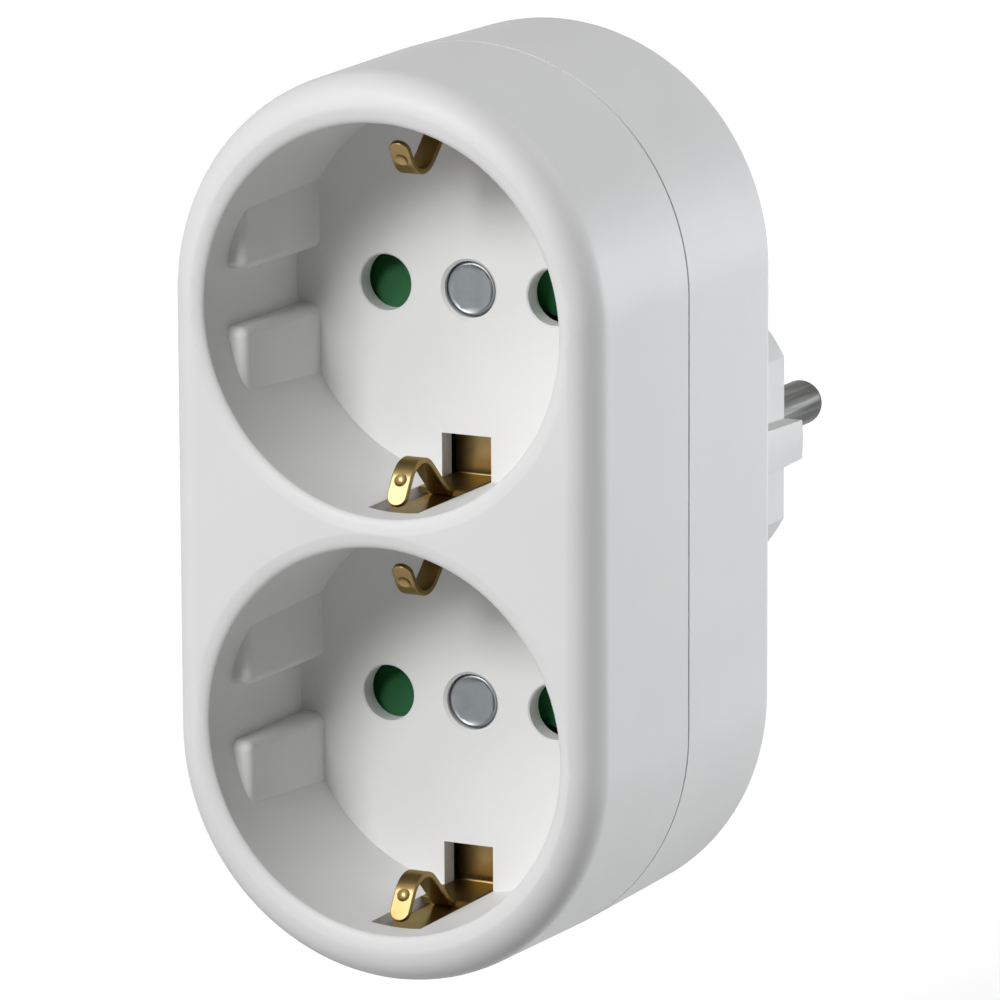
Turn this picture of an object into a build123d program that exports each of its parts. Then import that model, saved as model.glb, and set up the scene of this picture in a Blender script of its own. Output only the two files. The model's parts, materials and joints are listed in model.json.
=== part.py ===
from build123d import *

import os
from math import asin, cos, radians, sin, tan

# Two-way plug-in socket adapter for round two-pin plugs with side earth contacts.
# Millimetres. X is to the right seen from the front, Z is up, and the front faces -Y.
# The origin is the middle of the plug nose's end face, where the two pins come out.

# Standard plug and socket sizes
PIN_SPACING = 19.0          # between the two pins, and between the two contact holes
PIN_DIAMETER = 4.8
PIN_LENGTH = 19.0           # from the nose's end face to the tip
PIN_TIP_ROUND = 1.7
CONTACT_HOLE_DIAMETER = 5.8
WELL_RADIUS = 19.7          # inside of a socket well at its floor
WELL_DEPTH = 19.7
WELL_DRAFT = 0.1            # how much the well widens towards its mouth, on the radius
NOSE_RADIUS = 18.0
NOSE_LENGTH = 19.4

# Housing
LAND_BETWEEN_WELLS = 3.25
SIDE_LIP = 4.5              # from the well to the outside, at the parting line
END_LIP = 5.45              # the same, above the upper well and below the lower one
FLOOR_STEP = 1.4            # how far the wells' floor plate stands back past the parting line
SEAM_GAP = 0.3              # shadow gap between the two covers
FRONT_DRAFT = 1.0           # degrees
REAR_DRAFT = 0.7
FRONT_EDGE_ROUND = 3.5
BACK_EDGE_ROUND = 2.2
RIM_WIDTH = 1.9             # rounded mouth of a well, across the front face
RIM_DEPTH = 0.8             # the same, into the well
RIM_END_ANGLE = 14.0        # where the rim's rounding runs out onto the face, degrees
COVER_WALL = 2.0
BACK_WALL = 2.2
PIN_END_ROOM = 0.2          # from an inserted plug's pin tips to the back wall
TONGUE_INSET = 1.0          # the rear cover's tongue lies this far inside the outline
TONGUE_WIDTH = 1.2
TONGUE_HEIGHT = 1.3
TONGUE_CLEARANCE = 0.15
POCKET_WALL = 2.2           # round a well, where the waist of the front cover is cored out
POCKET_ROUND = 1.0
POCKET_FACE = 3.0           # thickness left behind the front face

# Socket wells
FLOOR_THICKNESS = 2.1
FLOOR_BORDER = 1.4          # how far the floor plate reaches past the wells
HOLE_BEVEL = 0.15           # front edge of a contact hole
GUIDE_DEPTH = 2.7           # how far the side guide blocks stand into the well, at its floor
GUIDE_DRAFT = 2.0           # of the blocks' faces, degrees
GUIDE_SETBACK = 4.9         # from the front face to the guide blocks
GUIDE_GROOVE = 5.8          # groove between the two blocks of one side
GUIDE_ROUND = 1.0
WINDOW_WIDTH = 5.6          # earth window in the floor, and its channel along the wall
WINDOW_LENGTH = 4.8

# Closing rivets
RIVET_HEAD_DIAMETER = 5.6
RIVET_HEAD_HEIGHT = 0.9
RIVET_HEAD_ROUND = 0.3
RIVET_DISH = 0.1            # how far the head's face lies below its round edge
RIVET_DISH_SLOPE = 0.2      # width of the step down to that face
RIVET_SHANK_DIAMETER = 3.0
RIVET_GRIP = 11.0           # length held in the rear cover's post
RIVET_RECESS_CLEARANCE = 0.1
RIVET_RECESS_BEVEL = 0.3
RIVET_BORE_CLEARANCE = 0.1
RIVET_SINK = 0.5            # how far the head lies below the well's floor

# Shutters
SHUTTER_THICKNESS = 3.0
SHUTTER_EDGE = 0.9          # thickness of the ramp's thin edge
SHUTTER_PLAY = 0.2          # at the shutter's front and back
SHUTTER_COVER = 0.8         # how far a blade reaches past its contact hole, away from the axis
SHUTTER_SIDE_COVER = 0.2    # the same, on the blade's two sides
BOSS_DIAMETER = 7.0
BOSS_CLEARANCE = 0.04       # running fit of the shutter on its boss
HUB_WALL = 1.75
LUG_WIDTH = 3.0
LUG_REACH = 11.0            # from the shutter's axis
STOP_WIDTH = 2.6
STOP_LENGTH = 3.4
STOP_CLEARANCE = 0.2
SPRING_LENGTH = 7.2
SPRING_DIAMETER = 2.6
SPRING_WIRE = 0.4
SPRING_TURNS = 6
SPRING_SEAT_CLEARANCE = 0.1
SPRING_SEAT_WIDTH = 1.4

# Earth path
EARTH_THICKNESS = 0.6
EARTH_BEND = 0.8            # bend radius at the middle of the sheet
EARTH_STRAP_WIDTH = 7.0
EARTH_ARM_WIDTH = 3.6
EARTH_ARM_DEPTH = 0.35      # from the well's wall to the arm lying in its channel
EARTH_ARM_SETBACK = 4.0     # from the front face to the end of the arm
EARTH_OFFSET = 0.35         # of window, channel and bow: right of the axis at the top, left below
EARTH_STEP = 1.8            # the strap's ends step forwards by this much
EARTH_STEP_START = 13.0     # from the well's axis
EARTH_STEP_END = 14.6
CHANNEL_CLEARANCE = 0.1
CHANNEL_SIDE_CLEARANCE = 0.2
BOW_WIDTH = 2.2
BOW_RADIUS = 2.85           # of a bow's crest, middle of the sheet
BOW_RAMP_ANGLE = 44.0       # of the ramp behind the crest, against the arm, degrees
BOW_TONGUE_ANGLE = 59.0     # of the tongue before the crest
TOP_BOW_RISE = 3.4          # from the arm to the centre of the crest's curve
TOP_BOW_SETBACK = 7.7       # from the front face to that centre
TOP_BOW_TONGUE = 2.4        # length of the tongue, from the crest to its tip
BOTTOM_BOW_RISE = 2.15
BOTTOM_BOW_SETBACK = 8.35
BOTTOM_BOW_TONGUE = 3.0
BOW_TIP_FLAT = 0.1          # left between the two round corners of the tip
BOW_FOOT = 2.4              # how far the wide foot on the arm reaches past the front of the floor
BOW_EDGE_ROUND = 0.12
DIMPLE_OFFSET = 0.3         # pressed dimple on the tongue, from the crest to its middle
DIMPLE_DIAMETER = 1.4
DIMPLE_DEPTH = 0.25
LINK_WIDTH = 6.0
LINK_HALF_GAP = 5.0         # half the distance between the link's two legs
LINK_FLANGE = 9.0
EARTH_RIVET_OFFSET = 6.0    # from the link's leg to its rivet
SIDE_CONTACT_WIDTH = 5.0
SIDE_CONTACT_SINK = 0.6     # below the round of the plug nose
SIDE_CONTACT_SETBACK = 2.2  # from the nose's end face
SIDE_CHANNEL_CLEARANCE = 0.05

# Live parts
BAR_THICKNESS = 1.0
BAR_WIDTH = 8.0
BAR_END = 6.5               # past the axis of a contact hole
BAR_HOLE_CLEARANCE = 0.3    # round the pin of an inserted plug
CLIP_THICKNESS = 0.6
CLIP_HALF_WIDTH = 3.7       # to the middle of the folded sheet
CLIP_LENGTH = 6.0
CLIP_DEPTH = 7.6            # how far the jaws stand out of the bar
CLIP_PINCH_DEPTH = 5.2
CLIP_SQUEEZE = 0.15         # on each side of a pin
CLIP_MOUTH = 1.2            # how far each jaw flares past the pinch
CLIP_BEND = 0.9
CLIP_TAB = 5.0              # past the jaws, for the rivet
SMALL_RIVET_DIAMETER = 2.0
SMALL_RIVET_HEAD_DIAMETER = 3.4
SMALL_RIVET_HEAD_HEIGHT = 0.5
SMALL_RIVET_CLEARANCE = 0.05
PIN_SHANK_DIAMETER = 5.6    # where the pin sits in the nose
PIN_COLLAR_DIAMETER = 7.0
PIN_COLLAR_LENGTH = 2.9
PIN_TAIL_DIAMETER = 3.2
PIN_TAIL_HEAD_DIAMETER = 5.8
PIN_TAIL_HEAD_HEIGHT = 0.8
PIN_CLEARANCE = 0.05

# Plug nose
NOSE_FLAT_DEPTH = 2.2       # of the flats left and right
NOSE_RIB = 4.1              # rib left standing in the middle of each flat, at the nose's end
NOSE_RIB_DRAFT = 2.0        # of the rib's sides, degrees
NOSE_WALL = 2.2
NOSE_END_WALL = 2.5
PIN_TUBE_WALL = 1.8
CRADLE_LENGTH = 3.0
CRADLE_WALL = 1.2
CRADLE_LIP = 1.0            # how far the cradle's sides stand past the bar
CRADLE_CLEARANCE = 0.15
OVERCUT = 1.0               # how far cutting shapes run past what they cut

# Places worked out from the sizes
SOCKET_PITCH = 2 * WELL_RADIUS + LAND_BETWEEN_WELLS
SOCKET_Z = {"upper": SOCKET_PITCH / 2, "lower": -SOCKET_PITCH / 2}
SOCKET_TURN = {"upper": 0, "lower": 180}  # the lower socket is the upper one, turned half round
POLE_X = {"left": -PIN_SPACING / 2, "right": PIN_SPACING / 2}
BODY_RADIUS = WELL_RADIUS + SIDE_LIP
BODY_PITCH = SOCKET_PITCH + 2 * (END_LIP - SIDE_LIP)
BODY_DEPTH = WELL_DEPTH + PIN_LENGTH + PIN_END_ROOM + BACK_WALL

NOSE_END = 0.0
BACK_FACE = NOSE_END - NOSE_LENGTH
INNER_BACK = BACK_FACE - BACK_WALL
FRONT_FACE = BACK_FACE - BODY_DEPTH
FLOOR_FRONT = FRONT_FACE + WELL_DEPTH
FLOOR_BACK = FLOOR_FRONT + FLOOR_THICKNESS
PARTING = FLOOR_BACK - FLOOR_STEP
REAR_RIM = PARTING + SEAM_GAP
SHUTTER_FRONT = FLOOR_BACK + SHUTTER_PLAY
SHUTTER_BACK = SHUTTER_FRONT + SHUTTER_THICKNESS
STRAP_FRONT = SHUTTER_BACK + SHUTTER_PLAY
STRAP_BACK = STRAP_FRONT + EARTH_THICKNESS
BAR_BACK = INNER_BACK - PIN_COLLAR_LENGTH
BAR_FRONT = BAR_BACK - BAR_THICKNESS
CLIP_FRONT = BAR_FRONT - CLIP_THICKNESS

ARM_MIDDLE = WELL_RADIUS + EARTH_ARM_DEPTH + EARTH_THICKNESS / 2
CONTACT_HOLE_RADIUS = CONTACT_HOLE_DIAMETER / 2
BLADE_RADIUS = PIN_SPACING / 2 + CONTACT_HOLE_RADIUS + SHUTTER_COVER
BLADE_HALF_ANGLE = asin((CONTACT_HOLE_RADIUS + SHUTTER_SIDE_COVER) / (PIN_SPACING / 2))
HUB_RADIUS = BOSS_DIAMETER / 2 + HUB_WALL
SPRING_Z = LUG_REACH - SPRING_DIAMETER / 2 - SPRING_WIRE
SIDE_CONTACT_MIDDLE = NOSE_RADIUS - SIDE_CONTACT_SINK - EARTH_THICKNESS / 2
LINK_RIVET_Z = LINK_HALF_GAP + EARTH_RIVET_OFFSET
CLIP_RIVET_Z = -(CLIP_LENGTH + CLIP_TAB) / 2


def place(level, x=0.0):
    """Where a socket's part goes: modelled about the Y axis, with the adapter's middle below it."""
    return Pos(x, 0, SOCKET_Z[level]) * Rot(0, SOCKET_TURN[level], 0)


def facing_front(y):
    """Sketch plane across the housing at y, with local x along X and local y along Z."""
    return Plane.XZ.offset(-y)


def slab(sketch, y_front, y_back):
    """A sketch across the housing, made solid between two depths."""
    return extrude(facing_front(y_back) * sketch, amount=y_back - y_front)


def block(x0, x1, y0, y1, z0, z1):
    """Box between two corners."""
    middle = Pos((x0 + x1) / 2, (y0 + y1) / 2, (z0 + z1) / 2)
    return middle * Box(abs(x1 - x0), abs(y1 - y0), abs(z1 - z0))


def rod(x, z, radius, y_front, y_back):
    """Round bar along Y."""
    return slab(Pos(x, z) * Circle(radius), y_front, y_back)


def stadium(pitch, radius):
    """Outline with round ends, standing upright."""
    return SlotCenterToCenter(pitch, 2 * radius, rotation=90)


def ribbon(path, thickness, width):
    """Folded strip: a path in (y, z), as thick as the sheet, centred on x = 0."""
    outline = trace(path, line_width=thickness)
    return extrude(Plane.YZ * outline, amount=width / 2, both=True)


def small_rivet(z, y_front, y_back):
    """Small rivet along Y through parts between two depths, with a head at each end."""
    head_radius = SMALL_RIVET_HEAD_DIAMETER / 2
    shank = rod(0, z, SMALL_RIVET_DIAMETER / 2, y_front, y_back)
    front_head = rod(0, z, head_radius, y_front - SMALL_RIVET_HEAD_HEIGHT, y_front)
    back_head = rod(0, z, head_radius, y_back, y_back + SMALL_RIVET_HEAD_HEIGHT)
    return shank + front_head + back_head


def small_rivet_hole(x, z, y_front, y_back):
    """Hole for a small rivet through a sheet."""
    radius = SMALL_RIVET_DIAMETER / 2 + SMALL_RIVET_CLEARANCE
    return rod(x, z, radius, y_front - OVERCUT, y_back + OVERCUT)


def housing_half(y_parting, y_far, draft, edge_round, inset=0.0):
    """Tapered stadium from the parting line to a far face, with its far edge rounded."""
    depth = abs(y_far - y_parting)
    direction = (0, 1 if y_far > y_parting else -1, 0)
    plane = Plane(origin=(0, y_parting, 0), x_dir=(1, 0, 0), z_dir=direction)
    solid = extrude(plane * stadium(BODY_PITCH, BODY_RADIUS - inset), amount=depth, taper=draft)
    far_edges = solid.faces().sort_by(Axis.Y)[-1 if y_far > y_parting else 0].edges()
    return fillet(far_edges, edge_round) if edge_round else solid


def guide_blocks():
    """The four guide blocks of one well, two on each side of its axis, with drafted faces."""
    front, back = FRONT_FACE + GUIDE_SETBACK, FLOOR_FRONT + OVERCUT
    draft = tan(radians(GUIDE_DRAFT))
    face_x = [WELL_RADIUS - GUIDE_DEPTH + (FLOOR_FRONT - y) * draft for y in (front, back)]
    reach = WELL_RADIUS + WELL_DRAFT + OVERCUT
    plan = Polygon((face_x[0], front), (2 * reach, front), (2 * reach, back), (face_x[1], back), align=None)
    upper_half = Pos(0, GUIDE_GROOVE / 2 + reach / 2) * Rectangle(3 * reach, reach)
    raw = slab(Circle(reach) & upper_half, front, back) & extrude(plan, amount=2 * reach)
    front_lines = raw.faces().sort_by(Axis.Y)[0].edges().filter_by(GeomType.LINE)
    groove_side = raw.faces().sort_by(Axis.Z)[0].edges().filter_by(GeomType.LINE)
    groove_corner = groove_side.sort_by(lambda edge: edge.center().X)[0]
    one = fillet([*front_lines, groove_corner], GUIDE_ROUND)
    right = one + mirror(one, Plane.XY)
    return right + mirror(right, Plane.YZ)


def well_void():
    """Space of one socket well about the Y axis: round, flared at the mouth, between its guides."""
    mouth = WELL_RADIUS + WELL_DRAFT
    centre = (mouth + RIM_WIDTH, FRONT_FACE + RIM_DEPTH)
    rim = EllipticalCenterArc(centre, RIM_WIDTH, RIM_DEPTH, start_angle=180, arc_size=90 - RIM_END_ANGLE)
    flare_end = rim @ 1 - (rim % 1) * (OVERCUT / (rim % 1).Y)
    wall = Polyline((0, flare_end.Y), (0, FLOOR_FRONT), (WELL_RADIUS, FLOOR_FRONT), rim @ 0)
    lip = Polyline(rim @ 1, flare_end, (0, flare_end.Y))
    return revolve(make_face(wall + rim + lip), axis=Axis.Y) - guide_blocks()


def earth_cuts():
    """Window through the floor and channel along the wall, above and below one well's axis."""
    x0, x1 = EARTH_OFFSET - WINDOW_WIDTH / 2, EARTH_OFFSET + WINDOW_WIDTH / 2
    bottom = ARM_MIDDLE + EARTH_THICKNESS / 2 + CHANNEL_CLEARANCE
    front = FRONT_FACE + EARTH_ARM_SETBACK - CHANNEL_SIDE_CLEARANCE
    window = block(x0, x1, FLOOR_FRONT - OVERCUT, FLOOR_BACK + OVERCUT, WELL_RADIUS - WINDOW_LENGTH, bottom)
    channel = block(x0, x1, front, FLOOR_FRONT, WELL_RADIUS - WINDOW_LENGTH / 2, bottom)
    top = window + channel
    return top + Rot(0, 180, 0) * top


def floor_hole(x, radius, bevel, y_back):
    """Round hole from the front of a well's floor to a depth, with a bevelled front edge."""
    rings = [Pos(x, 0) * Circle(radius + bevel - step) for step in (-bevel, bevel)]
    mouth = loft([facing_front(FLOOR_FRONT + step) * ring for step, ring in zip((-bevel, bevel), rings)])
    return rod(x, 0, radius, FLOOR_FRONT - bevel, y_back) + mouth


def spring_seat_x():
    """Left face of the shutter's lug at rest, and the spring seat's face beyond the spring."""
    lug_face = -LUG_WIDTH / 2
    return lug_face, lug_face - SPRING_LENGTH - 2 * SPRING_SEAT_CLEARANCE


def shutter_stops():
    """Ribs on the back of a floor: the shutter's stop and the seat of its spring."""
    stop_x = LUG_WIDTH / 2 + STOP_CLEARANCE
    z0, z1 = LUG_REACH - STOP_LENGTH, LUG_REACH
    rib_back = SHUTTER_BACK - SHUTTER_PLAY
    stop = block(stop_x, stop_x + STOP_WIDTH, FLOOR_BACK, rib_back, z0, z1)
    seat_x = spring_seat_x()[1]
    seat = block(seat_x - SPRING_SEAT_WIDTH, seat_x, FLOOR_BACK, rib_back, z0, z1)
    return stop + seat


def waist_pockets():
    """Cored-out spaces left and right of the land between the wells."""
    inner = stadium(SOCKET_PITCH, WELL_RADIUS + SIDE_LIP - TONGUE_INSET - TONGUE_WIDTH - COVER_WALL)
    keep = Sketch() + [Pos(0, z) * Circle(WELL_RADIUS + POCKET_WALL) for z in SOCKET_Z.values()]
    middle = Rectangle(4 * BODY_RADIUS, SOCKET_PITCH)
    region = (inner & middle) - keep
    pockets = [fillet(face.vertices(), POCKET_ROUND) for face in region.faces()]
    return slab(Sketch() + pockets, FRONT_FACE + POCKET_FACE, FLOOR_BACK + OVERCUT)


def tongue(clearance):
    """Ring inside the parting line that lines the two covers up."""
    outer = stadium(BODY_PITCH, BODY_RADIUS - TONGUE_INSET + clearance)
    inner = stadium(BODY_PITCH, BODY_RADIUS - TONGUE_INSET - TONGUE_WIDTH - clearance)
    return slab(outer - inner, REAR_RIM - TONGUE_HEIGHT - SEAM_GAP - clearance, REAR_RIM)


def front_cover():
    """Front moulding with both wells."""
    body = housing_half(PARTING, FRONT_FACE, FRONT_DRAFT, FRONT_EDGE_ROUND)
    plate = stadium(SOCKET_PITCH, WELL_RADIUS + FLOOR_BORDER)
    body += slab(plate, PARTING - OVERCUT, FLOOR_BACK)
    body -= waist_pockets() + tongue(TONGUE_CLEARANCE)
    recess_radius = RIVET_HEAD_DIAMETER / 2 + RIVET_RECESS_CLEARANCE
    recess_back = FLOOR_FRONT + RIVET_SINK + RIVET_HEAD_HEIGHT
    bore_radius = RIVET_SHANK_DIAMETER / 2 + RIVET_BORE_CLEARANCE
    for level in SOCKET_Z:
        here = place(level)
        body += here * (rod(0, 0, BOSS_DIAMETER / 2, FLOOR_BACK, STRAP_FRONT) + shutter_stops())
        body -= here * (well_void() + earth_cuts())
        body -= here * floor_hole(0, recess_radius, RIVET_RECESS_BEVEL, recess_back)
        body -= here * rod(0, 0, bore_radius, FLOOR_FRONT, STRAP_FRONT + OVERCUT)
        for x in POLE_X.values():
            body -= here * floor_hole(x, CONTACT_HOLE_RADIUS, HOLE_BEVEL, FLOOR_BACK + OVERCUT)
    return body


def plug_nose():
    """Round nose with a flat left and right, and a rib in the middle of each flat that widens to the back."""
    length = NOSE_END - INNER_BACK
    flats = Rectangle(2 * (NOSE_RADIUS - NOSE_FLAT_DEPTH), 3 * NOSE_RADIUS)
    rib_end = facing_front(NOSE_END) * Rectangle(3 * NOSE_RADIUS, NOSE_RIB)
    ribs = extrude(rib_end, amount=length, taper=-NOSE_RIB_DRAFT)
    core = slab(flats, INNER_BACK, NOSE_END)
    return rod(0, 0, NOSE_RADIUS, INNER_BACK, NOSE_END) & (core + ribs)


def nose_cavity():
    """Hollow of the plug nose, with a tube left standing round each pin."""
    inner_x = NOSE_RADIUS - NOSE_FLAT_DEPTH - NOSE_WALL
    hollow = Circle(NOSE_RADIUS - NOSE_WALL) & Rectangle(2 * inner_x, 3 * NOSE_RADIUS)
    tube_radius = PIN_SHANK_DIAMETER / 2 + PIN_CLEARANCE + PIN_TUBE_WALL
    tubes = Sketch() + [Pos(x, 0) * Circle(tube_radius) for x in POLE_X.values()]
    return slab(hollow - tubes, INNER_BACK - OVERCUT / 2, NOSE_END - NOSE_END_WALL)


def side_contact_cuts():
    """Channels along the top and bottom of the nose, and their slots through the back wall."""
    half = SIDE_CONTACT_WIDTH / 2 + CHANNEL_SIDE_CLEARANCE
    bottom = SIDE_CONTACT_MIDDLE - EARTH_THICKNESS / 2 - SIDE_CHANNEL_CLEARANCE
    top = SIDE_CONTACT_MIDDLE + EARTH_THICKNESS / 2 + SIDE_CHANNEL_CLEARANCE
    end = NOSE_END - SIDE_CONTACT_SETBACK + CHANNEL_SIDE_CLEARANCE
    channel = block(-half, half, BACK_FACE, end, bottom, NOSE_RADIUS + OVERCUT)
    slot = block(-half, half, INNER_BACK - OVERCUT, BACK_FACE, bottom, top)
    bend = block(-half, half, INNER_BACK - OVERCUT, INNER_BACK + EARTH_BEND, bottom - EARTH_BEND, top)
    upper = channel + slot + bend
    return upper + mirror(upper, Plane.XY)


def bar_cradles():
    """Seats for the ends of both bars on the inside of the back wall."""
    half = BAR_WIDTH / 2 + CRADLE_CLEARANCE
    end_z = SOCKET_PITCH / 2 + BAR_END
    solid = block(-half - CRADLE_WALL, half + CRADLE_WALL, BAR_FRONT - CRADLE_LIP, INNER_BACK,
                  end_z - CRADLE_LENGTH, end_z + CRADLE_CLEARANCE + CRADLE_WALL)
    room = block(-half, half, BAR_FRONT - CRADLE_LIP - OVERCUT, BAR_BACK,
                 end_z - CRADLE_LENGTH - OVERCUT, end_z + CRADLE_CLEARANCE)
    upper = solid - room
    both = upper + mirror(upper, Plane.XY)
    return Part() + [Pos(x, 0, 0) * both for x in POLE_X.values()]


def rear_cover():
    """Rear moulding with the plug nose."""
    body = housing_half(REAR_RIM, BACK_FACE, REAR_DRAFT, BACK_EDGE_ROUND)
    body -= housing_half(REAR_RIM - OVERCUT, INNER_BACK, REAR_DRAFT, 0, COVER_WALL)
    body += tongue(0)
    body += plug_nose()
    for z in SOCKET_Z.values():
        body += rod(0, z, BOSS_DIAMETER / 2, STRAP_BACK, INNER_BACK)
        body -= rod(0, z, RIVET_SHANK_DIAMETER / 2, STRAP_BACK - OVERCUT, STRAP_BACK + RIVET_GRIP)
    body += bar_cradles()
    body -= nose_cavity() + side_contact_cuts()
    for x in POLE_X.values():
        body -= rod(x, 0, PIN_SHANK_DIAMETER / 2 + PIN_CLEARANCE, INNER_BACK - OVERCUT, NOSE_END + OVERCUT)
    return body


def shutter_blade():
    """Right-hand blade: a sector whose front slopes, so that a pin pushes it aside."""
    ring = Circle(BLADE_RADIUS) - Circle(HUB_RADIUS - HUB_WALL / 2)
    side_x = 2 * BLADE_RADIUS * cos(BLADE_HALF_ANGLE)
    side_z = 2 * BLADE_RADIUS * sin(BLADE_HALF_ANGLE)
    wedge = Polygon((0, 0), (side_x, -side_z), (side_x, side_z), align=None)
    solid = slab(ring & wedge, SHUTTER_FRONT, SHUTTER_BACK)
    half_chord = BLADE_RADIUS * sin(BLADE_HALF_ANGLE)
    ramp = Polyline((SHUTTER_FRONT, half_chord), (SHUTTER_FRONT - OVERCUT, half_chord),
                    (SHUTTER_FRONT - OVERCUT, -half_chord - OVERCUT),
                    (SHUTTER_BACK - SHUTTER_EDGE, -half_chord - OVERCUT),
                    (SHUTTER_BACK - SHUTTER_EDGE, -half_chord), close=True)
    cutter = extrude(Plane.YZ * make_face(ramp), amount=2 * BLADE_RADIUS)
    return solid - cutter


def shutter():
    """Green shutter about the Y axis: hub, two sloping blades and the lug that the spring pushes."""
    hub = rod(0, 0, HUB_RADIUS, SHUTTER_FRONT, SHUTTER_BACK)
    blade = shutter_blade()
    lug = block(-LUG_WIDTH / 2, LUG_WIDTH / 2, SHUTTER_FRONT, SHUTTER_BACK, 0, LUG_REACH)
    bore = rod(0, 0, BOSS_DIAMETER / 2 + BOSS_CLEARANCE, SHUTTER_FRONT - OVERCUT, SHUTTER_BACK + OVERCUT)
    return hub + blade + Rot(0, 180, 0) * blade + lug - bore


def shutter_spring():
    """Compression spring along X, from its seat on the floor to the shutter's lug."""
    lug_face, seat_face = spring_seat_x()
    start = seat_face + SPRING_SEAT_CLEARANCE
    wire_radius = SPRING_WIRE / 2
    helix_radius = SPRING_DIAMETER / 2 - wire_radius
    rise = SPRING_LENGTH - SPRING_WIRE
    coil = Helix(pitch=rise / SPRING_TURNS, height=rise, radius=helix_radius)
    section = Plane(origin=coil @ 0, z_dir=coil % 0) * RegularPolygon(wire_radius, 6)
    wire = sweep(section, path=coil, is_frenet=True)
    middle_y = (SHUTTER_FRONT + SHUTTER_BACK) / 2
    return Pos(start + wire_radius, middle_y, SPRING_Z) * Rot(0, 90, 0) * wire


def closing_rivet():
    """Pin that holds the covers together, about the Y axis: its head has a round edge and a dished face."""
    front = FLOOR_FRONT + RIVET_SINK
    seat = front + RIVET_HEAD_HEIGHT
    end = STRAP_BACK + RIVET_GRIP - RIVET_BORE_CLEARANCE
    head_radius, shank_radius = RIVET_HEAD_DIAMETER / 2, RIVET_SHANK_DIAMETER / 2
    top_radius = head_radius - RIVET_HEAD_ROUND
    edge = CenterArc((top_radius, front + RIVET_HEAD_ROUND), RIVET_HEAD_ROUND, 270, 90)
    outline = Polyline(edge @ 1, (head_radius, seat), (shank_radius, seat), (shank_radius, end), (0, end),
                       (0, front + RIVET_DISH), (top_radius - RIVET_DISH_SLOPE, front + RIVET_DISH), edge @ 0)
    return revolve(make_face(outline + edge), axis=Axis.Y)


def through_sheet(edges):
    """Those edges of an earth strip that run through its thickness."""
    return edges.filter_by(lambda edge: abs(edge.length - EARTH_THICKNESS) < 1e-4)


def earth_bow(rise, setback, tongue_length):
    """Sprung bow on an arm above the well's axis: wide foot, ramp, round crest and a tongue with a dimple."""
    turn = BOW_RAMP_ANGLE + BOW_TONGUE_ANGLE
    crest = CenterArc((FRONT_FACE + setback, ARM_MIDDLE - rise), BOW_RADIUS, BOW_RAMP_ANGLE - 90, -turn)
    foot_z, foot_end = ARM_MIDDLE - EARTH_THICKNESS, FLOOR_FRONT + BOW_FOOT
    bend_y = (crest @ 0).X + (foot_z - (crest @ 0).Y) / tan(radians(BOW_RAMP_ANGLE))
    ramp = FilletPolyline((foot_end, foot_z), (bend_y, foot_z), crest @ 0, radius=EARTH_BEND)
    tongue_line = Line(crest @ 1, crest @ 1 + (crest % 1) * tongue_length)
    bow = ribbon(ramp + crest + tongue_line, EARTH_THICKNESS, BOW_WIDTH)
    tip = Vector(0, (tongue_line @ 1).X, (tongue_line @ 1).Y)
    tip_corners = through_sheet(bow.edges()).sort_by(lambda edge: (edge.center() - tip).length)[0:2]
    bow = fillet(tip_corners, (BOW_WIDTH - BOW_TIP_FLAT) / 2)
    square_edges = bow.edges().filter_by(Axis.X) + through_sheet(bow.edges())
    bow = fillet([edge for edge in bow.edges() if edge not in square_edges], BOW_EDGE_ROUND)
    shoulder = bend_y + EARTH_BEND * tan(radians(BOW_RAMP_ANGLE / 2))
    foot = ribbon(Line((shoulder, foot_z), (foot_end, foot_z)), EARTH_THICKNESS,
                  WINDOW_WIDTH - 2 * CHANNEL_SIDE_CLEARANCE)
    return bow - tongue_dimple(crest) + foot


def tongue_dimple(crest):
    """Ball that presses a dimple into the outer face of a bow's tongue."""
    along = crest % 1
    outward = Vector(-along.Y, along.X)
    ball_radius = (DIMPLE_DIAMETER**2 / 4 + DIMPLE_DEPTH**2) / (2 * DIMPLE_DEPTH)
    lift = EARTH_THICKNESS / 2 + ball_radius - DIMPLE_DEPTH
    middle = crest @ 1 + along * DIMPLE_OFFSET + outward * lift
    return Pos(0, middle.X, middle.Y) * Sphere(ball_radius)


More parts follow.
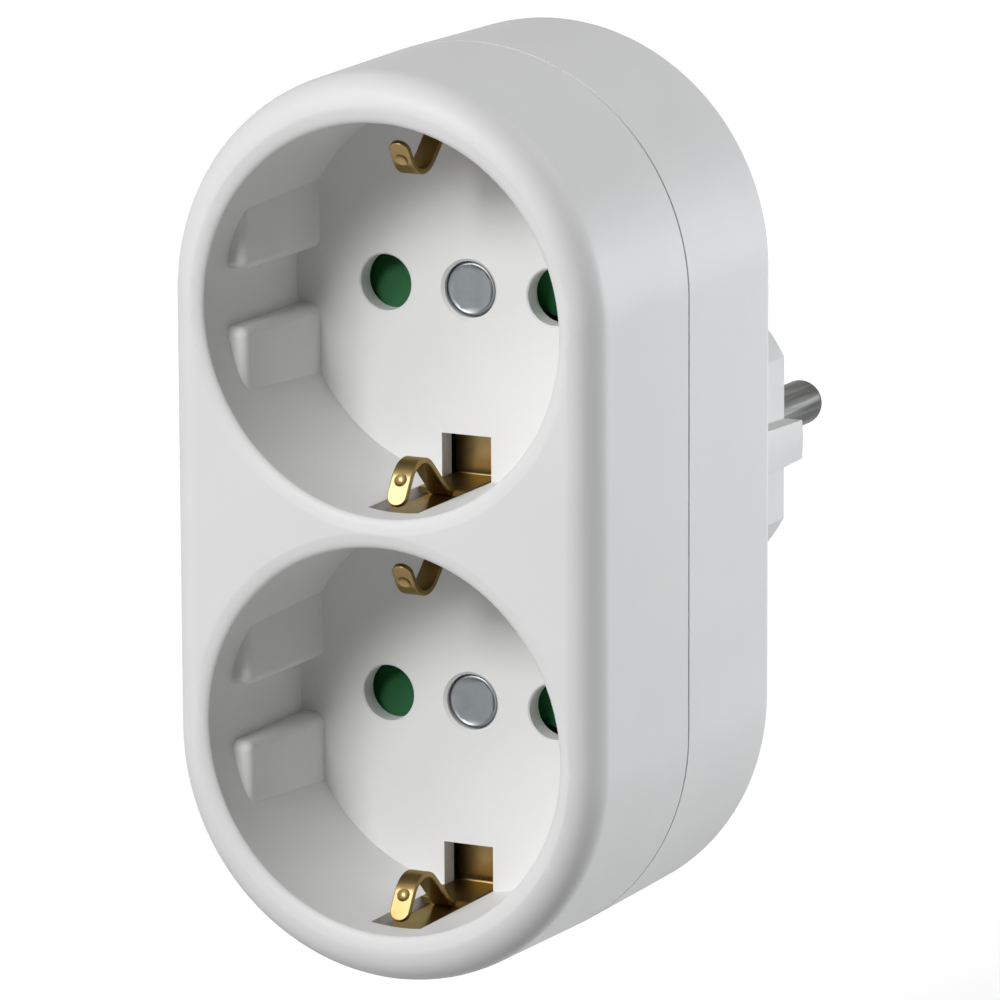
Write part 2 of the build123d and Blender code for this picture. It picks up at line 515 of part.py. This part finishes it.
def earth_bracket(level):
    """Folded strap behind one well, with an arm and a bow in the top and bottom of the well."""
    strap_y = (STRAP_FRONT + STRAP_BACK) / 2
    end_y = strap_y - EARTH_STEP
    arm_end = FRONT_FACE + EARTH_ARM_SETBACK
    upper = [(arm_end, ARM_MIDDLE), (end_y, ARM_MIDDLE), (end_y, EARTH_STEP_END), (strap_y, EARTH_STEP_START)]
    lower = [(y, -z) for y, z in reversed(upper)]
    solid = ribbon(FilletPolyline(*upper, *lower, radius=EARTH_BEND), EARTH_THICKNESS, EARTH_STRAP_WIDTH)
    for side in (-1, 1):
        inner, outer = side * EARTH_ARM_WIDTH / 2, side * EARTH_STRAP_WIDTH
        solid -= block(inner, outer, arm_end - OVERCUT, end_y - EARTH_BEND,
                       -ARM_MIDDLE - OVERCUT, ARM_MIDDLE + OVERCUT)
    top = (TOP_BOW_RISE, TOP_BOW_SETBACK, TOP_BOW_TONGUE)
    bottom = (BOTTOM_BOW_RISE, BOTTOM_BOW_SETBACK, BOTTOM_BOW_TONGUE)
    bows = {SOCKET_TURN[level]: top, 180 - SOCKET_TURN[level]: bottom}
    for turn, bends in bows.items():
        solid += Rot(0, turn, 0) * Pos(EARTH_OFFSET, 0, 0) * earth_bow(*bends)
    solid -= rod(0, 0, RIVET_SHANK_DIAMETER / 2 + RIVET_BORE_CLEARANCE,
                 STRAP_FRONT - OVERCUT, STRAP_BACK + OVERCUT)
    return solid - small_rivet_hole(0, LINK_RIVET_Z - SOCKET_PITCH / 2, STRAP_FRONT, STRAP_BACK)


def earth_link():
    """Folded strip from both brackets back to the plug's earth contact."""
    front = STRAP_BACK + EARTH_THICKNESS / 2
    back = INNER_BACK - 1.5 * EARTH_THICKNESS
    half = [(front, LINK_HALF_GAP + LINK_FLANGE), (front, LINK_HALF_GAP), (back, LINK_HALF_GAP)]
    other = [(y, -z) for y, z in reversed(half)]
    solid = ribbon(FilletPolyline(*half, *other, radius=EARTH_BEND), EARTH_THICKNESS, LINK_WIDTH)
    for z in (LINK_RIVET_Z, -LINK_RIVET_Z):
        solid -= small_rivet_hole(0, z, STRAP_BACK, STRAP_BACK + EARTH_THICKNESS)
    return solid - small_rivet_hole(0, 0, back - EARTH_THICKNESS, back + EARTH_THICKNESS)


def plug_earth_contact():
    """Folded strip inside the back wall, with a side contact along the top and bottom of the nose."""
    back = INNER_BACK - EARTH_THICKNESS / 2
    end = NOSE_END - SIDE_CONTACT_SETBACK
    half = [(end, SIDE_CONTACT_MIDDLE), (back, SIDE_CONTACT_MIDDLE)]
    other = [(y, -z) for y, z in reversed(half)]
    solid = ribbon(FilletPolyline(*half, *other, radius=EARTH_BEND), EARTH_THICKNESS, SIDE_CONTACT_WIDTH)
    return solid - small_rivet_hole(0, 0, INNER_BACK - EARTH_THICKNESS, INNER_BACK)


def earth_rivets():
    """Rivets of the earth path: one for each bracket and one for the plug's contact."""
    link_back = STRAP_BACK + EARTH_THICKNESS
    bracket_rivets = [small_rivet(z, STRAP_FRONT, link_back) for z in (LINK_RIVET_Z, -LINK_RIVET_Z)]
    contact_rivet = small_rivet(0, INNER_BACK - 2 * EARTH_THICKNESS, INNER_BACK)
    return Compound(children=[*bracket_rivets, contact_rivet])


def contact_bar(x):
    """Brass bar from the plug pin to both sockets."""
    half_length = SOCKET_PITCH / 2 + BAR_END
    bar = block(x - BAR_WIDTH / 2, x + BAR_WIDTH / 2, BAR_FRONT, BAR_BACK, -half_length, half_length)
    bar -= rod(x, 0, PIN_TAIL_DIAMETER / 2 + PIN_CLEARANCE, BAR_FRONT - OVERCUT, BAR_BACK + OVERCUT)
    hole_radius = PIN_DIAMETER / 2 + BAR_HOLE_CLEARANCE
    for level in SOCKET_Z:
        bar -= place(level, x) * rod(0, 0, hole_radius, BAR_FRONT - OVERCUT, BAR_BACK + OVERCUT)
        bar -= place(level, x) * small_rivet_hole(0, CLIP_RIVET_Z, BAR_FRONT, BAR_BACK)
    return bar


def contact_clip():
    """Folded spring clip about the Y axis: two jaws that grip a pin, and a tab for the rivet."""
    base_y = BAR_FRONT - CLIP_THICKNESS / 2
    pinch_x = PIN_DIAMETER / 2 - CLIP_SQUEEZE + CLIP_THICKNESS / 2
    right = [(CLIP_HALF_WIDTH, base_y), (pinch_x, BAR_FRONT - CLIP_PINCH_DEPTH),
             (pinch_x + CLIP_MOUTH, BAR_FRONT - CLIP_DEPTH)]
    left = [(-x, y) for x, y in reversed(right)]
    outline = trace(FilletPolyline(*left, *right, radius=CLIP_BEND), line_width=CLIP_THICKNESS)
    jaws = extrude(outline, amount=CLIP_LENGTH / 2, both=True)
    tab_end = CLIP_LENGTH / 2 + CLIP_TAB
    tab_half = CLIP_HALF_WIDTH - CLIP_BEND
    tab = block(-tab_half, tab_half, CLIP_FRONT, BAR_FRONT, -tab_end, 0)
    hole_radius = PIN_DIAMETER / 2 + BAR_HOLE_CLEARANCE
    hole = rod(0, 0, hole_radius, CLIP_FRONT - OVERCUT / 2, BAR_FRONT + OVERCUT)
    return jaws + tab - hole - small_rivet_hole(0, CLIP_RIVET_Z, CLIP_FRONT, BAR_FRONT)


def clip_rivets():
    """One rivet for each contact clip."""
    rivet = small_rivet(CLIP_RIVET_Z, CLIP_FRONT, BAR_BACK)
    return Compound(children=[place(level, x) * rivet for level in SOCKET_Z for x in POLE_X.values()])


def plug_pin():
    """Turned pin about the Y axis: round tip, thicker shank and collar, and a tail riveted over the bar."""
    head_front = BAR_FRONT - PIN_TAIL_HEAD_HEIGHT
    head_taper = PIN_TAIL_HEAD_HEIGHT / 2
    pin_radius = PIN_DIAMETER / 2
    shank_radius = PIN_SHANK_DIAMETER / 2
    tip_y = NOSE_END + PIN_LENGTH
    tip = CenterArc((pin_radius - PIN_TIP_ROUND, tip_y - PIN_TIP_ROUND), PIN_TIP_ROUND, 0, 90)
    outline = Polyline(
        tip @ 1, (0, tip_y), (0, head_front), (PIN_TAIL_HEAD_DIAMETER / 2 - head_taper, head_front),
        (PIN_TAIL_HEAD_DIAMETER / 2, head_front + head_taper), (PIN_TAIL_HEAD_DIAMETER / 2, BAR_FRONT),
        (PIN_TAIL_DIAMETER / 2, BAR_FRONT), (PIN_TAIL_DIAMETER / 2, BAR_BACK),
        (PIN_COLLAR_DIAMETER / 2, BAR_BACK), (PIN_COLLAR_DIAMETER / 2, INNER_BACK),
        (shank_radius, INNER_BACK), (shank_radius, NOSE_END), (pin_radius, NOSE_END), tip @ 0)
    return revolve(make_face(outline + tip), axis=Axis.Y)


def all_parts():
    """Every piece by its name."""
    parts = {
        "front_cover": front_cover(),
        "rear_cover": rear_cover(),
        "earth_link": earth_link(),
        "plug_earth_contact": plug_earth_contact(),
        "earth_rivets": earth_rivets(),
        "clip_rivets": clip_rivets(),
    }
    for level in SOCKET_Z:
        parts[f"shutter_{level}"] = place(level) * shutter()
        parts[f"shutter_spring_{level}"] = place(level) * shutter_spring()
        parts[f"closing_rivet_{level}"] = place(level) * closing_rivet()
        parts[f"earth_bracket_{level}"] = place(level) * earth_bracket(level)
    for side, x in POLE_X.items():
        parts[f"plug_pin_{side}"] = Pos(x, 0, 0) * plug_pin()
        parts[f"{side}_bar"] = contact_bar(x)
        for level in SOCKET_Z:
            parts[f"contact_clip_{level}_{side}"] = place(level, x) * contact_clip()
    return parts


os.makedirs("parts", exist_ok=True)
for name, solid in all_parts().items():
    export_step(solid, f"parts/{name}.step")
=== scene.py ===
import json
import math
from collections import namedtuple

import bpy
from mathutils import Matrix, Vector

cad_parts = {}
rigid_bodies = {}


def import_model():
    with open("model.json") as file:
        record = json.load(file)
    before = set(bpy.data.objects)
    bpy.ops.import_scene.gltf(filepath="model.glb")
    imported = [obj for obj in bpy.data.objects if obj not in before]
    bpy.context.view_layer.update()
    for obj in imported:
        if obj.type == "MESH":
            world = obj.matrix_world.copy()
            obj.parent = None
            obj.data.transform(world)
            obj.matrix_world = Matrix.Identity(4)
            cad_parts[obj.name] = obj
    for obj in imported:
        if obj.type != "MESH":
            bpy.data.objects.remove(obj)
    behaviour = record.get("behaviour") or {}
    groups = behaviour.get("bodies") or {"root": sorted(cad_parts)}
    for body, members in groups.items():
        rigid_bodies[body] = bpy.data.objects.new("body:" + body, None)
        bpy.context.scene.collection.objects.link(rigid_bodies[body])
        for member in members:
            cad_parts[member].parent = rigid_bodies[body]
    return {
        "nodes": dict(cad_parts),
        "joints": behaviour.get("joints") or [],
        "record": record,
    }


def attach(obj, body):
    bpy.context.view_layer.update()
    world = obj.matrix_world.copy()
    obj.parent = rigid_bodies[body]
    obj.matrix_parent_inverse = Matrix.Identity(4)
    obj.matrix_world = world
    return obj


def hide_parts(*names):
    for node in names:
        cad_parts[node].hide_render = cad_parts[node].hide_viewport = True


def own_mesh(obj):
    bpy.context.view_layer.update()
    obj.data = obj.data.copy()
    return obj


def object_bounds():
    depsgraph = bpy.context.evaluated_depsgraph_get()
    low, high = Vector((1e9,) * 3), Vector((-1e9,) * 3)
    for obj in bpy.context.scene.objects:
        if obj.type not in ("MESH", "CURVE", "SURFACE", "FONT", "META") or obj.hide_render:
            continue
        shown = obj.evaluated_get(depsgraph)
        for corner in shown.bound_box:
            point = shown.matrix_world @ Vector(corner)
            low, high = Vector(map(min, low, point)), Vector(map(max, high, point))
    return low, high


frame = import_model()
CAD_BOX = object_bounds()

# Two-way plug-in socket adapter in white plastic. Metres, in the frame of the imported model:
# X is to the right seen from the front, Z is up, and the front faces -Y.

# Camera, as in the photograph
CAMERA_AZIMUTH = 27.33      # degrees, to the right of the front
CAMERA_ELEVATION = 12.227
CAMERA_ROLL = -0.246
CAMERA_DISTANCE = 0.811118
CAMERA_TARGET = Vector((0.004825, -0.0435, 0.000721))
CAMERA_LENS = 290.65        # mm, on the sensor below
CAMERA_SENSOR = 36.0

# Stage
FLOOR_SIZE = 6.0
FLOOR_GAP = 0.03            # below the part, which is held by its plug pins
FLOOR_WHITE = 0.45
FLOOR_GLOW = 0.82           # what the floor adds for the camera: only its shadow is below white
FLOOR_NEAR = 0.15           # from this distance to the next, the glow rises to the background's
FLOOR_FAR = 0.7
BACKGROUND_STRENGTH = 1.0
AMBIENT_STRENGTH = 0.01

# Softboxes: direction from the part in degrees, side, power in watts and colour
WHITE_LIGHT = (0.99, 0.99, 1.0)
COOL_LIGHT = (0.965, 0.974, 1.0)
SOFTBOX_DISTANCE = 1.0
Softbox = namedtuple("Softbox", "name azimuth elevation side power colour")
SOFTBOXES = (
    Softbox("key", azimuth=-14.0, elevation=29.0, side=0.35, power=7.37, colour=WHITE_LIGHT),
    Softbox("back", azimuth=134.0, elevation=5.0, side=0.35, power=7.14, colour=COOL_LIGHT),
    Softbox("top", azimuth=130.0, elevation=45.0, side=0.35, power=1.0, colour=WHITE_LIGHT),
    Softbox("glint", azimuth=-37.0, elevation=42.0, side=0.16, power=1.4, colour=WHITE_LIGHT),
)

# Shading of the carried-over CAD meshes
WELD_DISTANCE = 1e-6
SHARP_ANGLE = 27.0          # degrees: edges at least this sharp stay sharp
NOISE_ROUGHNESS = 0.55      # of the noise textures in the finishes


class Shader:
    """A material under construction: short calls for the nodes that the finishes below share."""

    def __init__(self, name):
        self.material = bpy.data.materials.new(name)
        self.material.use_nodes = True
        self.tree = self.material.node_tree
        self.surface = self.tree.nodes["Principled BSDF"]
        self.place = self.node("ShaderNodeTexCoord").outputs["Object"]

    def node(self, kind, **sockets):
        """A new node, with some of its input sockets set."""
        new = self.tree.nodes.new(kind)
        for name, value in sockets.items():
            new.inputs[name.replace("_", " ")].default_value = value
        return new

    def link(self, output, socket):
        self.tree.links.new(output, socket)

    def settings(self, **sockets):
        """Constants, straight on the surface's own sockets."""
        for name, value in sockets.items():
            self.surface.inputs[name.replace("_", " ")].default_value = value

    def noise(self, scale, detail=2.0, stretch=(1.0, 1.0, 1.0)):
        """Noise through the part, from 0 to 1, at so many cells a metre, stretched along the axes."""
        mapping = self.node("ShaderNodeMapping", Scale=stretch)
        self.link(self.place, mapping.inputs["Vector"])
        texture = self.node("ShaderNodeTexNoise", Scale=scale, Detail=detail,
                            Roughness=NOISE_ROUGHNESS)
        self.link(mapping.outputs["Vector"], texture.inputs["Vector"])
        return texture.outputs["Fac"]

    def colours(self, factor, dark, light, low=0.3, high=0.7):
        """Base colour that runs from dark to light as the factor goes from low to high."""
        ramp = self.node("ShaderNodeValToRGB")
        ramp.color_ramp.elements[0].position = low
        ramp.color_ramp.elements[0].color = (*dark, 1.0)
        ramp.color_ramp.elements[1].position = high
        ramp.color_ramp.elements[1].color = (*light, 1.0)
        self.link(factor, ramp.inputs["Fac"])
        self.link(ramp.outputs["Color"], self.surface.inputs["Base Color"])

    def roughness(self, factor, low, high):
        """Roughness that runs from low to high with a factor."""
        span = self.node("ShaderNodeMapRange", To_Min=low, To_Max=high)
        self.link(factor, span.inputs["Value"])
        self.link(span.outputs["Result"], self.surface.inputs["Roughness"])

    def bump(self, factor, height, strength):
        """Relief of so many metres from a factor."""
        relief = self.node("ShaderNodeBump", Strength=strength, Distance=height)
        self.link(factor, relief.inputs["Height"])
        self.link(relief.outputs["Normal"], self.surface.inputs["Normal"])


def white_plastic():
    """Satin moulded plastic: almost even white, with a fine grain from the mould."""
    shader = Shader("white_plastic")
    shader.colours(shader.noise(60.0), dark=(0.775, 0.776, 0.766), light=(0.80, 0.801, 0.791))
    grain = shader.noise(5200.0, detail=3.0)
    shader.roughness(shader.noise(900.0), low=0.45, high=0.55)
    shader.bump(grain, height=0.000012, strength=0.25)
    shader.settings(Specular_IOR_Level=0.35)
    return shader.material


def green_plastic():
    """Dark green moulded plastic."""
    shader = Shader("green_plastic")
    shader.colours(shader.noise(350.0), dark=(0.019, 0.117, 0.039), light=(0.023, 0.145, 0.047))
    shader.roughness(shader.noise(1500.0), low=0.3, high=0.42)
    shader.bump(shader.noise(4000.0), height=0.00001, strength=0.2)
    shader.settings(Specular_IOR_Level=0.12)
    return shader.material


def brass():
    """Rolled brass strip under clear lacquer: warm dull metal with fine lines from the rolls."""
    shader = Shader("brass")
    tarnish = shader.noise(260.0, detail=4.0)
    shader.colours(tarnish, dark=(0.225, 0.153, 0.058), light=(0.285, 0.202, 0.08))
    lines = shader.noise(900.0, stretch=(8.0, 1.0, 1.0))
    shader.roughness(lines, low=0.28, high=0.38)
    shader.bump(lines, height=0.00001, strength=0.25)
    shader.settings(Metallic=1.0, Specular_Tint=(0.6, 0.53, 0.32, 1.0))
    shader.settings(Coat_Weight=0.25, Coat_Roughness=0.08)
    return shader.material


def nickel():
    """Plated pins and earth contacts: grey metal whose colour carries painted reflections, dark and
    light streaks along the pins; the same streaks vary its roughness and relief a little.
    """
    shader = Shader("nickel")
    reflection_streaks = shader.noise(800.0, detail=3.0, stretch=(1.0, 0.04, 1.0))
    # painted reflections: the colour swings from near black to grey along the streaks, standing in
    # for mirrored bands of the surroundings
    shader.colours(reflection_streaks, dark=(0.045, 0.046, 0.045), light=(0.22, 0.224, 0.217),
                   low=0.35, high=0.62)
    shader.roughness(reflection_streaks, low=0.2, high=0.3)
    shader.bump(reflection_streaks, height=0.00001, strength=0.2)
    shader.settings(Metallic=1.0, Specular_Tint=(0.6, 0.6, 0.6, 1.0))
    return shader.material


def rivet_steel():
    """Dull plated steel of the closing rivets."""
    shader = Shader("rivet_steel")
    plating = shader.noise(700.0, detail=4.0)
    shader.colours(plating, dark=(0.19, 0.205, 0.21), light=(0.225, 0.24, 0.245))
    shader.roughness(shader.noise(1800.0), low=0.3, high=0.45)
    shader.bump(shader.noise(3000.0), height=0.000008, strength=0.25)
    shader.settings(Metallic=1.0)
    return shader.material


def spring_steel():
    """Drawn spring wire."""
    shader = Shader("spring_steel")
    shader.colours(shader.noise(900.0), dark=(0.36, 0.36, 0.37), light=(0.46, 0.46, 0.47))
    shader.roughness(shader.noise(2500.0), low=0.25, high=0.4)
    shader.settings(Metallic=1.0)
    return shader.material


def smooth(piece):
    """Smooth shading that keeps the sharp edges."""
    weld = piece.modifiers.new("weld", "WELD")
    weld.merge_threshold = WELD_DISTANCE
    split = piece.modifiers.new("sharp edges", "EDGE_SPLIT")
    split.split_angle = math.radians(SHARP_ANGLE)
    piece.modifiers.new("even normals", "WEIGHTED_NORMAL")


def finish_nodes():
    """Give every CAD node the material of its slot, and smooth shading."""
    makers = (white_plastic, green_plastic, brass, nickel, rivet_steel, spring_steel)
    finishes = {maker.__name__: maker() for maker in makers}
    for row in frame["record"]["subparts"]:
        node = frame["nodes"][row["node"]]
        for holder in node.material_slots:
            holder.material = finishes[row["material_slot"]]
        smooth(node)


def shorten_springs():
    """A copy of each shutter spring stands for its CAD node, carried by the body that the spring's
    joint hangs from.
    """
    for joint in frame["joints"]:
        for spring in joint["deforming_nodes"]:
            mesh = frame["nodes"][spring["node"]].data.copy()
            coil = bpy.data.objects.new(spring["node"] + "_coil", mesh)
            bpy.context.scene.collection.objects.link(coil)
            smooth(coil)
            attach(coil, joint["parent"])
            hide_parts(spring["node"])
            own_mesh(coil)


def camera_ray_switch(tree):
    """1 for rays that see the background itself: from the camera, or by way of a mirror or glass."""
    path = tree.nodes.new("ShaderNodeLightPath")
    seen = path.outputs["Is Camera Ray"]
    for name in ("Is Glossy Ray", "Is Transmission Ray"):
        either = tree.nodes.new("ShaderNodeMath")
        either.operation = "MAXIMUM"
        tree.links.new(seen, either.inputs[0])
        tree.links.new(path.outputs[name], either.inputs[1])
        seen = either.outputs["Value"]
    return seen


def light_world():
    """White to look at, and a plain grey light on the part."""
    world = bpy.data.worlds.new("studio")
    bpy.context.scene.world = world
    world.use_nodes = True
    tree = world.node_tree
    background = tree.nodes["Background"]
    background.inputs["Color"].default_value = (1.0, 1.0, 1.0, 1.0)
    strength = tree.nodes.new("ShaderNodeMapRange")
    strength.inputs["To Min"].default_value = AMBIENT_STRENGTH
    strength.inputs["To Max"].default_value = BACKGROUND_STRENGTH
    tree.links.new(camera_ray_switch(tree), strength.inputs["Value"])
    tree.links.new(strength.outputs["Result"], background.inputs["Strength"])


def floor_glow(tree):
    """Glow of the floor, which rises to the background's with the distance from the part."""
    place = tree.nodes.new("ShaderNodeTexCoord")
    distance = tree.nodes.new("ShaderNodeVectorMath")
    distance.operation = "LENGTH"
    tree.links.new(place.outputs["Object"], distance.inputs[0])
    glow = tree.nodes.new("ShaderNodeMapRange")
    glow.inputs["From Min"].default_value = FLOOR_NEAR
    glow.inputs["From Max"].default_value = FLOOR_FAR
    glow.inputs["To Min"].default_value = FLOOR_GLOW
    glow.inputs["To Max"].default_value = BACKGROUND_STRENGTH
    tree.links.new(distance.outputs["Value"], glow.inputs["Value"])
    return glow.outputs["Result"]


def floor_material():
    """Pale matt floor that looks white where no shadow falls."""
    material = bpy.data.materials.new("studio_floor")
    material.use_nodes = True
    tree = material.node_tree
    matt = tree.nodes["Principled BSDF"]
    matt.inputs["Base Color"].default_value = (FLOOR_WHITE, FLOOR_WHITE, FLOOR_WHITE, 1.0)
    matt.inputs["Roughness"].default_value = 1.0
    matt.inputs["Specular IOR Level"].default_value = 0.0
    matt.inputs["Emission Color"].default_value = (1.0, 1.0, 1.0, 1.0)
    strength = tree.nodes.new("ShaderNodeMapRange")
    tree.links.new(floor_glow(tree), strength.inputs["To Max"])
    tree.links.new(camera_ray_switch(tree), strength.inputs["Value"])
    tree.links.new(strength.outputs["Result"], matt.inputs["Emission Strength"])
    return material


def lay_floor():
    """Plain floor below the part."""
    mesh = bpy.data.meshes.new("studio_floor")
    half = FLOOR_SIZE / 2
    corners = [(-half, -half, 0), (half, -half, 0), (half, half, 0), (-half, half, 0)]
    mesh.from_pydata(corners, [], [(0, 1, 2, 3)])
    floor = bpy.data.objects.new("studio_floor", mesh)
    floor.location.z = CAD_BOX[0][2] - FLOOR_GAP
    mesh.materials.append(floor_material())
    bpy.context.scene.collection.objects.link(floor)


def toward(azimuth, elevation):
    """Direction from the part, by degrees to the right of the front and degrees up."""
    turn, rise = math.radians(azimuth), math.radians(elevation)
    level = math.cos(rise)
    return Vector((math.sin(turn) * level, -math.cos(turn) * level, math.sin(rise)))


def hang_softboxes():
    """Square soft lamps that face the part."""
    for box in SOFTBOXES:
        lamp = bpy.data.lights.new(f"softbox_{box.name}", "AREA")
        lamp.shape = "SQUARE"
        lamp.size = box.side
        lamp.energy = box.power
        lamp.color = box.colour
        holder = bpy.data.objects.new(lamp.name, lamp)
        direction = toward(box.azimuth, box.elevation)
        holder.location = CAMERA_TARGET + direction * SOFTBOX_DISTANCE
        holder.rotation_euler = direction.to_track_quat("Z", "Y").to_euler()
        bpy.context.scene.collection.objects.link(holder)


def set_camera():
    """The photograph's camera."""
    lens = bpy.data.cameras.new("camera")
    lens.lens = CAMERA_LENS
    lens.sensor_width = CAMERA_SENSOR
    camera = bpy.data.objects.new("camera", lens)
    back = toward(CAMERA_AZIMUTH, CAMERA_ELEVATION)
    roll = Matrix.Rotation(math.radians(CAMERA_ROLL), 3, "Z")
    aim = back.to_track_quat("Z", "Y").to_matrix() @ roll
    stand = Matrix.Translation(CAMERA_TARGET + back * CAMERA_DISTANCE)
    camera.matrix_world = stand @ aim.to_4x4()
    bpy.context.scene.collection.objects.link(camera)
    bpy.context.scene.camera = camera


finish_nodes()
shorten_springs()
light_world()
lay_floor()
hang_softboxes()
set_camera()
bpy.context.scene.view_settings.view_transform = "Standard"
